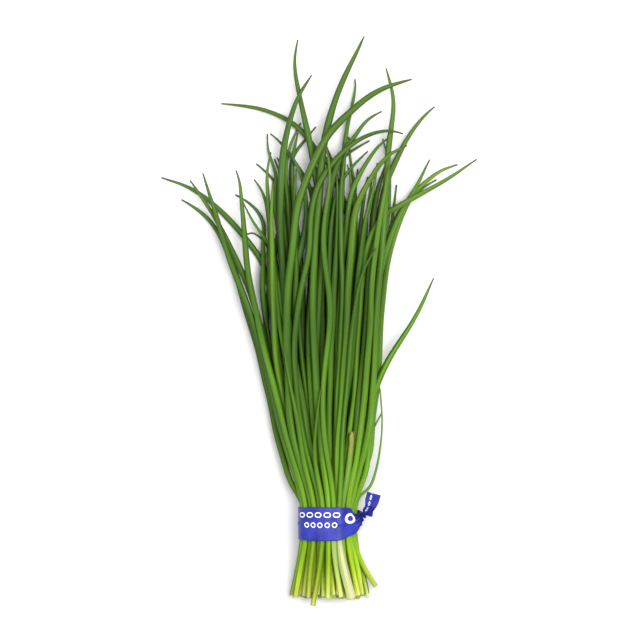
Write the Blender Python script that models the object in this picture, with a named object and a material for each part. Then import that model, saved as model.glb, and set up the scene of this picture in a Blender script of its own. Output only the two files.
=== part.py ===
"""A bunch of fresh chives lying on its side, held near its cut ends by one printed wire tie.

The leaves run along Y, cut ends towards -Y and tips towards +Y.  Each leaf is one tapering tube.  In the tie
they are stacked like rods in a bowl; above and below it each one lies on the leaves stacked before it.  The
thin filling leaves stand in pairs that share one base, and each pair is one solid called a shoot.

Metres, +Z up.  The origin is the middle of the flat underside of the tie.
"""

import bpy
import numpy as np

MM = 0.001
PITCH = 2.86  # spacing of the leaves inside the tie
WAIST_RADIUS = 1.25  # a leaf inside the tie
WAIST_HALF = 9.4  # the leaves are straight and parallel for this far either side of the tie's middle
GAP = 0.16  # clear air left between neighbouring leaves
FLOOR = 0.04  # the lowest leaves lie this far above the surface
BOWL_MIDDLE = 1.3
BOWL_HALF_WIDTH = 14.0
BOWL_HALF_HEIGHT = 10.9
BOWL_ROWS = 9
CUT_LENGTH = 37.0  # from the tie's middle to the cut ends
CUT_SPREAD = 1.37  # the cut ends fan out by this much
TIP_RADIUS = 0.4
SIDES = 6
PASSES = 340

RIBBON_HALF = 8.4  # half the width of the tie
RIBBON_THICK = 0.6
RIBBON_PRESSED = 1.0  # thickness where the bunch presses the tie flat
RIBBON_RIB = 1.0  # height of the ridge over the wire
RIBBON_GAP = 0.24
WIRE_RADIUS = 0.2
CHANNEL_RADIUS = 0.33
CHANNEL_RISE = 0.5  # middle of the wire above the ribbon's inner face
GATHER_HALF = 2.0  # half width of the gathered ribbon in the twist
GATHER_THICK = 1.15
TWIST_LENGTH = 3.6
TWIST_WAY = np.radians(40)  # the twist points this far up from +X
KNOT = (16.6, 3.0, 18.2)
TAIL_LONG = 10.8
TAIL_SHORT = 4.0
TAIL_HALF = 3.5  # the long tail opens out to this half width

# The fan of the bunch: its left and right edges at these distances up from the tie's middle.
FAN_Y = (9, 20, 35, 50, 65, 90, 110)
FAN_LEFT = (-13.3, -17.6, -22.4, -26.2, -29.5, -35.5, -41)
FAN_RIGHT = (15.2, 18.0, 20.6, 22.4, 23.8, 25.0, 26.5)

# Each leaf that shows: its place in the stack from 0 at the back to 100 at the front, its width in mm, and
# the points it passes on its way from the tie to its tip, as x and y in mm.
LEAVES = (
    (62, 3.25, (-17.2, 18.5), (-22.6, 34), (-29, 63.5), (-38.7, 101), (-43.5, 116), (-50.5, 137),
     (-63.5, 155.5), (-73, 161.5)),
    (58, 3.15, (-23.5, 56), (-31, 91), (-39.5, 118.5), (-54, 148.5), (-60, 159), (-68.5, 171)),
    (68, 3.15, (-19.5, 36), (-26, 61), (-34.5, 93.5), (-48, 131), (-53.5, 148), (-59, 165),
     (-62, 174.5)),
    (78, 3.25, (-26, 71), (-31.5, 92), (-38, 116), (-41, 141), (-42.5, 156), (-43.5, 169.5),
     (-45.5, 176)),
    (30, 2.95, (-15.5, 71), (-23.5, 106), (-32.5, 130), (-43.5, 146), (-53.5, 156.5), (-68.5, 167),
     (-83, 172.5)),
    (34, 2.75, (-26.5, 75), (-30.6, 105), (-31, 130), (-31, 147), (-33.5, 154), (-40, 160.5),
     (-46, 164)),
    (40, 2.35, (-17.5, 80), (-25.5, 121), (-31.5, 142), (-38.5, 153), (-42.5, 161)),
    (26, 1.95, (-18.5, 91), (-25.5, 126), (-29.5, 138.5), (-34.5, 143.5), (-37.5, 144.7), (-40.5, 144)),
    (80, 3.15, (-21.5, 71), (-27.5, 121), (-28.5, 148.5), (-29.5, 155), (-32.5, 165.5), (-36.5, 171.5)),
    (92, 3.15, (-15.8, 33), (-21.5, 61), (-25, 91), (-26.5, 116), (-27, 136), (-27.5, 150), (-27, 170)),
    (22, 2.55, (-19.5, 131), (-23, 161), (-26, 170.5), (-28.5, 173.5), (-35.5, 179.5)),
    (36, 2.55, (-20.5, 126), (-23.5, 161), (-26, 177), (-29, 186), (-29.8, 194.5)),
    (47, 2.9, (-0.5, 120), (-4.5, 152), (-8, 164.5), (-11.5, 172), (-15, 178), (-20.5, 186),
     (-23, 189.5), (-28.5, 194.5)),
    (64, 2.75, (-22.5, 96), (-27.5, 136), (-29.5, 161), (-30, 173.5), (-28, 185)),
    (46, 2.55, (-18.5, 121), (-21.5, 161), (-23.5, 178.5), (-25, 182.5)),
    (54, 3.05, (-4, 100), (-7, 176), (-10.5, 196), (-14, 215), (-16.2, 229), (-14.5, 241.5)),
    (76, 3.65, (-18.5, 96), (-22.5, 136), (-23, 166), (-21.5, 186), (-18.5, 201), (-13.5, 213.5),
     (-7.5, 223.5)),
    (49, 2.9, (12.5, 120), (12.5, 143.5), (11.5, 153.5), (9, 161), (3, 176), (-0.5, 181),
     (-5.5, 186.5), (-12, 195), (-23.5, 203), (-38.5, 208), (-53, 209.5)),
    (20, 2.75, (-17.5, 131), (-17.5, 166), (-15.5, 185.5), (-13.5, 188), (-5.5, 198)),
    (18, 2.35, (-15, 121), (-19.5, 166), (-18.5, 187.5), (-17, 192), (-13, 200)),
    (94, 3.95, (-15, 41), (-17, 71), (-18, 106), (-16.5, 131), (-12, 165), (-7, 178), (2, 194.5),
     (12, 205.2), (22, 213.2), (32, 218.2), (42.5, 221.2)),
    (84, 3.25, (-5.5, 91), (-3.5, 121), (-0.5, 153.5), (3.5, 173.5), (9.5, 187), (14.5, 193.5),
     (21, 201.5), (27.5, 205.5)),
    (86, 3.85, (-6.5, 96), (-6.5, 126), (-5.3, 146), (-3, 176), (-1.5, 188.5), (4.5, 211.7),
     (9.5, 223.7), (14.5, 234.7), (18.7, 243)),
    (89, 3.15, (-14.5, 50), (-17, 90), (-15.5, 106), (-9, 140), (-5.5, 165), (0.5, 176), (7, 183.5),
     (14, 190), (21.5, 193.5), (31.5, 195.5), (38, 194)),
    (52, 2.95, (3.5, 121), (6, 161), (7.5, 183.5), (9, 194.5), (11, 204.5), (13, 212), (14.3, 219),
     (14, 222)),
    (44, 2.65, (-0.5, 121), (0.5, 151), (3.5, 171), (8.5, 182), (14.5, 187), (21.5, 191)),
    (60, 2.75, (1.5, 126), (3, 153.5), (7, 169), (9, 172.5), (14.5, 179.5), (20.5, 185.5)),
    (28, 2.35, (13.5, 101), (15, 141), (14, 166), (13, 172), (12, 184.5), (11, 193)),
    (73, 3.15, (4.5, 96), (7, 131), (10, 153.5), (13.5, 168.5), (20.5, 180.5), (26.5, 188.5),
     (32, 193)),
    (90, 3.65, (8.5, 76), (10, 101), (11, 121), (12.5, 141), (15.5, 159.5), (19, 167),
     (26.5, 178.5), (33, 184.5), (40, 188)),
    (82, 2.95, (19.5, 96), (22.5, 131), (25.5, 156), (28, 173.5), (32, 185.5)),
    (87, 3.05, (10.5, 66), (14.5, 101), (17, 130), (19.5, 151), (23.5, 168.5), (25, 179.5)),
    (95, 2.55, (9, 60), (12.5, 96), (15.5, 116), (20.5, 130), (24.5, 137)),
    (85, 3.35, (22.5, 66), (24.3, 101), (27, 136), (29, 166), (31.5, 194.5), (33, 207.5),
     (32, 217.5), (29.5, 227)),
    (42, 2.55, (22.2, 96), (26.3, 131), (30.5, 161), (29.5, 186), (28.5, 189.5), (28, 192)),
    (66, 3.35, (21.7, 106), (25.4, 136), (31.5, 174), (35.5, 182.5), (41, 193), (47.5, 202), (54, 208)),
    (70, 3.15, (16.2, 18.5), (18.4, 27), (20.6, 42), (22.4, 60), (24.2, 106), (27, 130), (31, 142), (37, 155),
     (42.5, 164.5), (47, 173.5), (51.5, 181.5)),
    (56, 3.05, (13.6, 18), (17.4, 33), (21.4, 56), (23.6, 96), (25.6, 120), (34.5, 151), (43, 165),
     (50, 171), (57.5, 176), (65.5, 179)),
    (38, 2.55, (21.8, 96), (27.4, 131), (39.5, 158.5), (46, 165.5), (48.5, 167.5), (55, 171.5)),
    (74, 2.95, (15, 96), (17.5, 126), (22.5, 145), (29.5, 154), (36.5, 158), (56.5, 170),
     (65.5, 175), (75, 181.5)),
    (32, 2.45, (21.2, 96), (25.6, 121), (30.2, 143.5), (33.8, 159.5), (35, 169)),
    (50, 3.05, (11.8, 20), (16.2, 35), (20.8, 56), (25.5, 69.5), (30.8, 79), (38.5, 92.5),
     (47, 109), (53.3, 122)),
    (45, 2.15, (-26, 71), (-29.5, 88.5), (-31.5, 98.5), (-32.5, 105)),
    (96, 2.55, (-13, 41), (-16.5, 61), (-19.8, 76), (-21.5, 88)),
    (98, 2.45, (-5.8, 36), (-4.5, 53.5), (-3.5, 61), (-2.5, 66.5)),
    (81, 3.35, (10.2, 21), (12.4, 34), (13, 46)),
    (88, 3.15, (19.5, 71), (21.5, 96), (22.5, 116), (23.5, 131), (25.5, 146), (28, 160), (31, 178.5)),
    (91, 2.95, (-2.5, 71), (0.5, 93.5), (1.2, 107), (-1, 128.5), (-1.5, 150), (1.5, 176),
     (-0.5, 187.5)),
    (72, 1.2, (16, 12.6), (20.4, 16.5), (23.2, 22), (25, 30), (26.2, 41), (26.2, 54), (24.2, 67)),
)
BROKEN = 45  # the row of the stub whose end is torn off
SHEATHED = 32  # the row of the leaf that still wears its wide pale sheath
SHEATH_RADII = (2.2, 1.85)  # at its cut end, and halfway from there to the tie
# Rows whose cut ends stick out or stand in front, and where to.
STRAY_CUTS = {44: (-7.2, -41.6), 36: (24.6, -32.6), 32: (12.6, -37.4), 47: (7.4, -37.2)}
SHOOTS = 9  # pairs of filling leaves, two to a node

# The tips of the filling leaves, a pair to a line: x, y, and how far x moves over the last part of the leaf.
FILLING_TIPS = (
    ((-26.5, 182, -5.5), (-21, 170, -1)),
    ((-18.6, 185.5, -6), (-15.2, 177, 1)),
    ((-14.4, 195, 2.5), (-9.4, 171, -2.5)),
    ((-8.6, 172, -3.5), (-3.6, 168, 1)),
    ((-0.6, 189, -4.5), (2.4, 171, 1.5)),
    ((4.6, 173, -1), (9.6, 187, 2)),
    ((8.4, 179, -3), (12.8, 171, 1.5)),
    ((15.6, 177, 2), (20.6, 173, 2.5)),
    ((22.6, 171, 2), (26.8, 173, 3)),
)
SEED = 11

BRIGHT = (9, 29, 37, 39, 43, 44, 46)  # rows of the lighter, yellower leaves
DRY = (45, 48)  # the torn stub and the withered wisp
MATERIALS = {
    "leaf": (0.075, 0.2, 0.03),
    "leaf_bright": (0.17, 0.33, 0.04),
    "leaf_dry": (0.45, 0.42, 0.13),
    "ribbon": (0.045, 0.055, 0.55),
    "wire": (0.35, 0.35, 0.36),
}


def clear_scene():
    """Empty the startup scene and work in metres."""
    for obj in list(bpy.data.objects):
        bpy.data.objects.remove(obj, do_unlink=True)
    bpy.context.scene.unit_settings.system = "METRIC"
    bpy.context.scene.unit_settings.scale_length = 1.0


def material(name, colour, roughness, metallic=0.0):
    """A plain Principled material."""
    made = bpy.data.materials.new(name)
    made.use_nodes = True
    shader = made.node_tree.nodes["Principled BSDF"]
    shader.inputs["Base Color"].default_value = (*colour, 1.0)
    shader.inputs["Roughness"].default_value = roughness
    shader.inputs["Metallic"].default_value = metallic
    made.diffuse_color = (*colour, 1.0)
    return made


def solid(name, points, faces, slot):
    """A mesh object from points in millimetres, its faces turned outward."""
    corners = np.asarray(points)
    volume = 0.0
    for face in faces:
        for one, two in zip(face[1:-1], face[2:]):
            volume += np.dot(corners[face[0]], np.cross(corners[one], corners[two]))
    if volume < 0:
        faces = [tuple(reversed(face)) for face in faces]
    mesh = bpy.data.meshes.new(name)
    mesh.from_pydata((corners * MM).tolist(), [], faces)
    mesh.update()
    mesh.materials.append(slot)
    made = bpy.data.objects.new(name, mesh)
    bpy.context.scene.collection.objects.link(made)
    return made


def natural_spline(knots, values, at):
    """Points of the natural cubic through the values: the second derivative is zero at both ends, and inside
    it solves the three-term equations that make the slope continuous."""
    gap = np.diff(knots)
    count = len(knots)
    system = np.eye(count)
    right = np.zeros((count, values.shape[1]))
    for row in range(1, count - 1):
        system[row, row - 1] = gap[row - 1]
        system[row, row] = 2 * (gap[row - 1] + gap[row])
        system[row, row + 1] = gap[row]
        ahead = (values[row + 1] - values[row]) / gap[row]
        behind = (values[row] - values[row - 1]) / gap[row - 1]
        right[row] = 6 * (ahead - behind)
    second = np.linalg.solve(system, right)
    cell = np.clip(np.searchsorted(knots, at, side="right") - 1, 0, count - 2)
    wide = gap[cell][:, None]
    low = (knots[cell + 1] - at)[:, None] / wide
    high = 1 - low
    bend = ((low**3 - low) * second[cell] + (high**3 - high) * second[cell + 1]) * wide**2 / 6
    return low * values[cell] + high * values[cell + 1] + bend


def fan_place(x, y):
    """Where in the tie a leaf comes from if it passes x, y: the same share of the way across the fan."""
    left = np.interp(y, FAN_Y, FAN_LEFT)
    right = np.interp(y, FAN_Y, FAN_RIGHT)
    share = np.clip((x - left) / (right - left), 0, 1)
    return BOWL_MIDDLE - BOWL_HALF_WIDTH + 2 * BOWL_HALF_WIDTH * share


def filling_leaves(rng):
    """Rows like those of LEAVES for the filling leaves of the middle and the back, two by two."""
    rows = []
    for number in range(SHOOTS):
        share = (number + 0.5) / SHOOTS
        column = (number * 4) % SHOOTS
        middle = -23 + 43 * column / (SHOOTS - 1) + rng.uniform(-1, 1)
        for side, (x, y, lean) in zip((-1.7, 1.7), FILLING_TIPS[column]):
            across = middle + side
            low = (across, 62.0)
            mid = (0.4 * (1.08 * across + 1.5) + 0.6 * (x - lean), 0.66 * y)
            near = (x - lean, 0.93 * y)
            rows.append((2 + 66 * share + 0.01 * side, rng.uniform(2.8, 3.3), low, mid, near, (x, y)))
    return rows


def bowl_spots():
    """Rows of places for the leaves inside the tie, close packed in an ellipse with a flat bottom."""
    rise = PITCH * np.sqrt(3) / 2
    low = RIBBON_PRESSED + RIBBON_GAP + WAIST_RADIUS
    spots = []
    for row in range(BOWL_ROWS):
        z = low + row * rise
        part = (row - 0.5 * (BOWL_ROWS - 1)) * rise / BOWL_HALF_HEIGHT
        half = BOWL_HALF_WIDTH * np.sqrt(1 - part * part)
        shift = 0.5 * (row % 2)
        for column in range(-7, 8):
            x = BOWL_MIDDLE + (column + shift - 0.25) * PITCH
            if abs(x - BOWL_MIDDLE) <= half:
                spots.append((x, z))
    return np.array(spots)


def fill_bowl(rows, marks):
    """A spot for each row: near where the fan would bring it from, front leaves high and back ones low.

    The leaves start in order of their wish across the tie and then change places two at a time for as long as
    a change brings them nearer to what they want.  The two leaves of a pair also want to be neighbours.
    """
    spots = bowl_spots()
    middle = spots[:, 1].mean()
    out = (spots[:, 0] - BOWL_MIDDLE) / (BOWL_HALF_WIDTH + 1.5)
    half = BOWL_HALF_HEIGHT * np.sqrt(np.maximum(1 - out**2, 0.02))
    depth = (spots[:, 1] - middle) / half
    count = len(spots)
    cost = np.zeros((count, count))
    for k, row in enumerate(rows):
        cost[k] = (spots[:, 0] - fan_place(*row[2])) ** 2 + 14 * (depth - (row[0] / 50 - 1)) ** 2
    mate = np.full(count, -1)
    for k, mark in enumerate(marks):
        if mark < 0 and mark % 2 == 0:
            mate[k] = k - 1
            mate[k - 1] = k
    apart = np.linalg.norm(spots[:, None] - spots[None], axis=2)
    chosen = np.arange(count)
    chosen = chosen[np.argsort(spots[:, 1], kind="stable")]

    def price(k, spot, other=-1, other_spot=-1):
        paid = cost[k, spot]
        if mate[k] >= 0:
            with_spot = other_spot if mate[k] == other else chosen[mate[k]]
            paid += 6 * max(apart[spot, with_spot] - PITCH, 0) ** 2
        return paid

    for _ in range(40):
        changed = False
        for one in range(count):
            for two in range(one + 1, count):
                a, b = chosen[one], chosen[two]
                now = price(one, a, two, b) + price(two, b, one, a)
                then = price(one, b, two, a) + price(two, a, one, b)
                if then < now - 1e-9:
                    chosen[one], chosen[two] = b, a
                    changed = True
        if not changed:
            break
    return spots[chosen[: len(rows)]]


def course(place, row, cut):
    """The plan line of one leaf as straight runs, cut end first, with more corners where it bends."""
    x = place[0]
    through = np.array([(x, WAIST_HALF)] + [tuple(p) for p in row[2:]], float)
    # It leaves the tie along the fan, so the first bend is soft.
    knots = np.concatenate([[0], np.cumsum(np.linalg.norm(np.diff(through, axis=0), axis=1))])
    fine = natural_spline(knots, through, np.linspace(0, knots[-1], 240))
    step = np.diff(fine, axis=0)
    long = np.linalg.norm(step, axis=1)
    turn = np.abs(np.diff(np.unwrap(np.arctan2(step[:, 1], step[:, 0]))))
    effort = long / (20 + 14 * np.clip(fine[1:, 1] / 80, 0, 1))
    effort[1:] += turn / 0.2
    effort = np.concatenate([[0], np.cumsum(effort)])
    count = int(np.clip(round(effort[-1]), 4, 13))
    at = np.interp(np.linspace(0, effort[-1], count + 1), effort, np.arange(240.0))
    upper = np.stack([np.interp(at, np.arange(240.0), fine[:, k]) for k in (0, 1)], axis=1)
    foot = np.array([cut[0], cut[1]])
    bend = np.array([x, -0.42 * CUT_LENGTH])
    waist = np.array([x, -WAIST_HALF])
    down = []
    for t in (1.0, 0.5):
        down.append((1 - t) ** 2 * waist + 2 * t * (1 - t) * bend + t * t * foot)
    return np.array([*down, waist, *upper])


def girth(line, width, broken):
    """The radius at each corner: slim in the tie, full from there on, then a long taper to the tip."""
    run = np.concatenate([[0], np.cumsum(np.linalg.norm(np.diff(line, axis=0), axis=1))])
    left = run[-1] - run
    past = np.clip((line[:, 1] - WAIST_HALF) / 45, 0, 1)
    past = past * past * (3 - 2 * past)
    waist = min(WAIST_RADIUS, width / 2 + 0.1)
    full = waist + (width / 2 - waist) * past
    if broken:
        return full
    return np.maximum(full * np.minimum(1, left / 52) ** 0.42, TIP_RADIUS)


def settle(lines, levels, mates):
    """Let all the leaves settle on each other at once.

    lines: one array of corners (x, y, z, radius) for each leaf, in stacking order.  Each pass smooths the
    heights, lets them sink a little, then takes every place where two tubes are closer than their radii and
    the gap and moves them apart, the one stacked later upwards.  The corners in the tie never move.
    """
    sizes = [len(line) for line in lines]
    first = np.concatenate([[0], np.cumsum(sizes)])
    rings = np.concatenate(lines)
    owner = np.repeat(np.arange(len(lines)), sizes)
    radius = rings[:, 3].copy()
    spot = rings[:, :3].copy()
    wish = spot.copy()
    free = np.abs(spot[:, 1]) > WAIST_HALF + 0.01
    a = np.concatenate([np.arange(first[k], first[k + 1] - 1) for k in range(len(lines))])
    b = a + 1
    run = np.linalg.norm(spot[b, :2] - spot[a, :2], axis=1)
    count = np.clip((run / 2.2).astype(int), 2, 12)
    cell = np.repeat(np.arange(len(a)), count)
    share = np.concatenate([(np.arange(c) + 0.5) / c for c in count])
    reach_share = np.repeat(0.5 / count, count)
    inner = np.flatnonzero((owner[:-1] == owner[1:]))[1:]
    inner = inner[(owner[inner - 1] == owner[inner]) & (owner[inner + 1] == owner[inner])]
    back = np.linalg.norm(spot[inner, :2] - spot[inner - 1, :2], axis=1)
    ahead = np.linalg.norm(spot[inner + 1, :2] - spot[inner, :2], axis=1)
    part = (back / (back + ahead))[:, None]
    ends = np.array([first[k + 1] - 1 for k in range(len(lines))])
    stiff = 0.25 + 0.75 * np.array(levels)[owner] / 100
    order = who_is_above(lines)
    partner = np.full(len(lines), -1)
    for one, two in mates:
        partner[one] = two
        partner[two] = one
    for turn in range(PASSES):
        if turn % 10 == 0:
            pairs = near_pairs(spot, radius, a, b, cell, share, owner, partner)
        rest = turn > PASSES * 0.7
        if not rest:
            drift = spot - wish
            soft = drift.copy()
            soft[inner] = drift[inner - 1] * (1 - part) + drift[inner + 1] * part
            spot[free, 0] = wish[free, 0] + 0.97 * (0.45 * drift[free, 0] + 0.55 * soft[free, 0])
            high = spot[:, 2].copy()
            level = high[inner - 1] * (1 - part[:, 0]) + high[inner + 1] * part[:, 0]
            high[inner] = 0.55 * high[inner] + 0.45 * level
            high[ends] = 0.7 * high[ends] + 0.3 * high[ends - 1]
            spot[free, 2] = high[free] - 0.04
        for _ in range(3):
            push_apart(spot, radius, (a, b, cell, share, reach_share), owner, pairs, free, stiff, order)
            spot[free, 2] = np.maximum(spot[free, 2], (radius + FLOOR)[free])
        for one, two in mates:
            # The two leaves of a pair come together at their cut ends.
            low, high = first[one], first[two]
            side = np.copysign(1.15, wish[high, 0] - wish[low, 0])
            miss = spot[low] + (side, 0.7, 0.0) - spot[high]
            spot[high] += 0.5 * miss
            spot[low] -= 0.5 * miss * (1, 0, 1)
    settled = []
    for k in range(len(lines)):
        part_k = slice(first[k], first[k + 1])
        settled.append(np.column_stack([spot[part_k], radius[part_k]]))
    return settled


def who_is_above(lines):
    """1 where the row's leaf passes over the column's.  Neighbours in the tie keep the order they have there,
    and all others follow the stacking order."""
    waist = np.array([line[2, :3] for line in lines])
    across = np.abs(waist[:, None, 0] - waist[None, :, 0])
    rise = waist[:, None, 2] - waist[None, :, 2]
    count = np.arange(len(lines))
    stacked = np.sign(count[:, None] - count[None, :]).astype(float)
    near = (across < 1.2 * PITCH) & (np.abs(rise) > 0.5 * PITCH)
    return np.where(near, np.sign(rise), stacked)


def near_pairs(spot, radius, a, b, cell, share, owner, partner):
    """Every sample point and every run of another leaf that are close enough to touch soon."""
    where = spot[a[cell]] * (1 - share)[:, None] + spot[b[cell]] * share[:, None]
    way = spot[b] - spot[a]
    size = (way**2).sum(axis=1)
    found = []
    for low in range(0, len(cell), 600):
        part = slice(low, low + 600)
        along = ((where[part][:, None] - spot[a][None]) * way[None]).sum(axis=2) / size
        foot = spot[a][None] + np.clip(along, 0, 1)[..., None] * way[None]
        apart = np.linalg.norm(foot - where[part][:, None], axis=2)
        mine = owner[a[cell[part]]]
        close = (apart < 5.5) & (mine[:, None] != owner[a][None])
        tied = (partner[mine][:, None] == owner[a][None]) & (where[part][:, 1] < -WAIST_HALF)[:, None]
        one, two = np.nonzero(close & ~tied)
        found.append(np.stack([one + low, two], axis=1))
    return np.concatenate(found)


def push_apart(spot, radius, runs, owner, pairs, free, stiff, order):
    """Move touching tubes apart, each by half, weighed by how close the touch is to each corner."""
    a, b, cell, share, reach_share = runs
    one, two = pairs.T
    t = share[one]
    ia, ib = a[cell[one]], b[cell[one]]
    ja, jb = a[two], b[two]
    where = spot[ia] * (1 - t)[:, None] + spot[ib] * t[:, None]
    way = spot[jb] - spot[ja]
    own = spot[ib] - spot[ia]
    for _ in range(2):
        # Nearest point of the other run, then the point of this one nearest to that, half a step away at most.
        u = np.clip(((where - spot[ja]) * way).sum(axis=1) / (way**2).sum(axis=1), 0, 1)
        foot = spot[ja] + u[:, None] * way
        slide = ((foot - spot[ia]) * own).sum(axis=1) / (own**2).sum(axis=1)
        t = np.clip(np.clip(slide, share[one] - reach_share[one], share[one] + reach_share[one]), 0, 1)
        where = spot[ia] + t[:, None] * own
    u = np.clip(((where - spot[ja]) * way).sum(axis=1) / (way**2).sum(axis=1), 0, 1)
    foot = spot[ja] + u[:, None] * way
    gap = where - foot
    apart = np.linalg.norm(gap, axis=1)
    reach = radius[ia] * (1 - t) + radius[ib] * t + radius[ja] * (1 - u) + radius[jb] * u + GAP
    hit = apart < reach
    if not hit.any():
        return
    one, two, t, u, ia, ib, ja, jb = (v[hit] for v in (one, two, t, u, ia, ib, ja, jb))
    gap, apart, reach = gap[hit], apart[hit], reach[hit]
    sign = order[owner[ia], owner[ja]]
    out = np.zeros((len(one), 3))
    out[:, 0] = gap[:, 0]
    out[:, 2] = sign * (np.maximum(sign * gap[:, 2], 0) + 0.3 * reach)
    out /= np.linalg.norm(out, axis=1)[:, None]
    shift = (reach - apart + 0.01)[:, None] * out
    move = np.zeros_like(spot)
    weight = np.zeros(len(spot))
    mine = stiff[ja] / (stiff[ia] + stiff[ja])
    for index, part, amount in (
        (ia, 1 - t, mine),
        (ib, t, mine),
        (ja, 1 - u, mine - 1),
        (jb, u, mine - 1),
    ):
        np.add.at(move, index, shift * (amount * part)[:, None])
        np.add.at(weight, index, part * part + 0.02)
    moved = free & (weight > 0)
    spot[moved] += 0.9 * move[moved] / weight[moved][:, None]


def tube(name, line, radii, slot, sides=SIDES):
    """One leaf: rings of corners square to its line, closed by flat ends."""
    way = np.gradient(line, axis=0)
    way /= np.linalg.norm(way, axis=1)[:, None]
    side = np.cross(way, (0, 0, 1.0))
    side /= np.linalg.norm(side, axis=1)[:, None]
    up = np.cross(side, way)
    turn = np.arange(sides) * 2 * np.pi / sides
    ring = np.cos(turn)[None, :, None] * side[:, None] + np.sin(turn)[None, :, None] * up[:, None]
    points = (line[:, None] + radii[:, None, None] * ring).reshape(-1, 3)
    faces = []
    for row in range(len(line) - 1):
        for k in range(sides):
            m = (k + 1) % sides
            faces.append((row * sides + k, row * sides + m, (row + 1) * sides + m, (row + 1) * sides + k))
    faces.append(tuple(reversed(range(sides))))
    faces.append(tuple((len(line) - 1) * sides + k for k in range(sides)))
    return solid(name, points, faces, slot)


def join(name, pieces):
    """One union of all the pieces, applied, with the pieces removed."""
    group = bpy.data.collections.new("group_" + name)
    bpy.context.scene.collection.children.link(group)
    for piece in pieces[1:]:
        bpy.context.scene.collection.objects.unlink(piece)
        group.objects.link(piece)
    base = pieces[0]
    union = base.modifiers.new("union", "BOOLEAN")
    union.operation = "UNION"
    union.operand_type = "COLLECTION"
    union.solver = "MANIFOLD"
    union.collection = group
    graph = bpy.context.evaluated_depsgraph_get()
    mesh = bpy.data.meshes.new_from_object(base.evaluated_get(graph))
    mesh.name = name
    base.modifiers.clear()
    base.data = mesh
    base.name = name
    for piece in pieces[1:]:
        bpy.data.objects.remove(piece, do_unlink=True)
    bpy.data.collections.remove(group)
    return base


def bunch_lines():
    """The line and radii of every leaf, in stacking order, each with its mark: the row in LEAVES, or below
    zero for a filling leaf, -1 and -2 being the first pair."""
    rng = np.random.default_rng(SEED)
    rows = [(*row, index) for index, row in enumerate(LEAVES)]
    rows += [(*row, -1 - index) for index, row in enumerate(filling_leaves(rng))]
    rows.sort(key=lambda row: row[0])
    marks = [row[-1] for row in rows]
    rows = [row[:-1] for row in rows]
    places = fill_bowl(rows, marks)
    lines = []
    mates = []
    for index, (row, place, mark) in enumerate(zip(rows, places, marks)):
        cut = [0.2 + CUT_SPREAD * place[0] + rng.uniform(-0.5, 0.5), -CUT_LENGTH + rng.uniform(-1.8, 1.6)]
        cut = STRAY_CUTS.get(mark, cut)
        if mark < 0 and mark % 2 == 0:
            mates.append((index - 1, index))
            cut = [lines[-1][0, 0] + np.copysign(1.15, place[0] - lines[-1][2, 0]), lines[-1][0, 1] + 0.7]
        plan = course(place, row, cut)
        radii = girth(plan, row[1], mark == BROKEN)
        if mark == SHEATHED:
            radii[:2] = SHEATH_RADII
        y = plan[:, 1]
        away = np.maximum(np.abs(y) - WAIST_HALF, 0)
        fall = np.where(y > 0, np.clip(away / 110, 0, 1), np.clip(away / 80, 0, 1))
        fall = fall * fall * (3 - 2 * fall)
        layer = 1.4 + 13.0 * index / len(rows)
        z = place[1] * (1 - fall) + layer * fall
        if mark < 0 and mark % 2 == 0:
            z[0] = lines[-1][0, 2] + 0.3
        lines.append(np.column_stack([plan, z, radii]))
    lines = settle(lines, [row[0] for row in rows], mates)
    return list(zip(marks, lines)), places


def loop_stations(places):
    """The ribbon's stations round the bunch, from the upper right over the top and back to the lower right.

    A station is the middle of the inner face, the way the outer face looks, the half width and the thickness.
    The loop is the line at one distance round all the leaves in the tie.
    """
    reach = WAIST_RADIUS + RIBBON_GAP
    low = places[:, 1].min()
    floor_row = places[places[:, 1] < low + 0.1]
    stations = []
    for degrees in [58, 66] + list(range(75, 260, 9)) + [264, 270, 270, 276] + list(range(285, 340, 9)):
        angle = np.radians(degrees)
        look = np.array([np.cos(angle), np.sin(angle)])
        if degrees == 270:
            left = not stations[-1][1][2] == -1.0
            x = floor_row[:, 0].min() if left else floor_row[:, 0].max()
            spot = np.array([x, low])
            look = np.array([0.0, -1.0])
        else:
            spot = places[np.argmax(places @ look)]
        foot = spot + reach * look
        side = np.clip((foot[0] - 6) / 8, 0, 1)
        rim = np.clip((foot[0] - 11.5) / 4, 0, 1)
        half = RIBBON_HALF - 2.2 * side - 2.5 * rim - 0.5 * np.clip((-foot[0] - 8) / 7, 0, 1)
        thick = RIBBON_THICK
        if degrees in (264, 270, 276):
            thick = RIBBON_PRESSED
        centre = np.array([foot[0], 1.6 * side + 0.7 * rim - 0.3, foot[1]])
        stations.append((centre, np.array([look[0], 0.0, look[1]]), half, thick))
    return stations


def ribbon_stations(places):
    """The whole strip: a tail, the twist, the loop round the bunch, the twist again and the other tail."""
    loop = loop_stations(places)
    axis = np.array([np.cos(TWIST_WAY), np.sin(TWIST_WAY), 0.0])
    knot = np.array(KNOT)
    strands = []
    for station, side in ((loop[0], 1.0), (loop[-1], -1.0)):
        strands.append(strand(station, side, knot, axis))
    stations = strands[0][::-1]
    stations += [(c, np.array([0.0, 1.0, 0.0]), n, half, thick) for c, n, half, thick in loop]
    return stations + strands[1]


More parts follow.
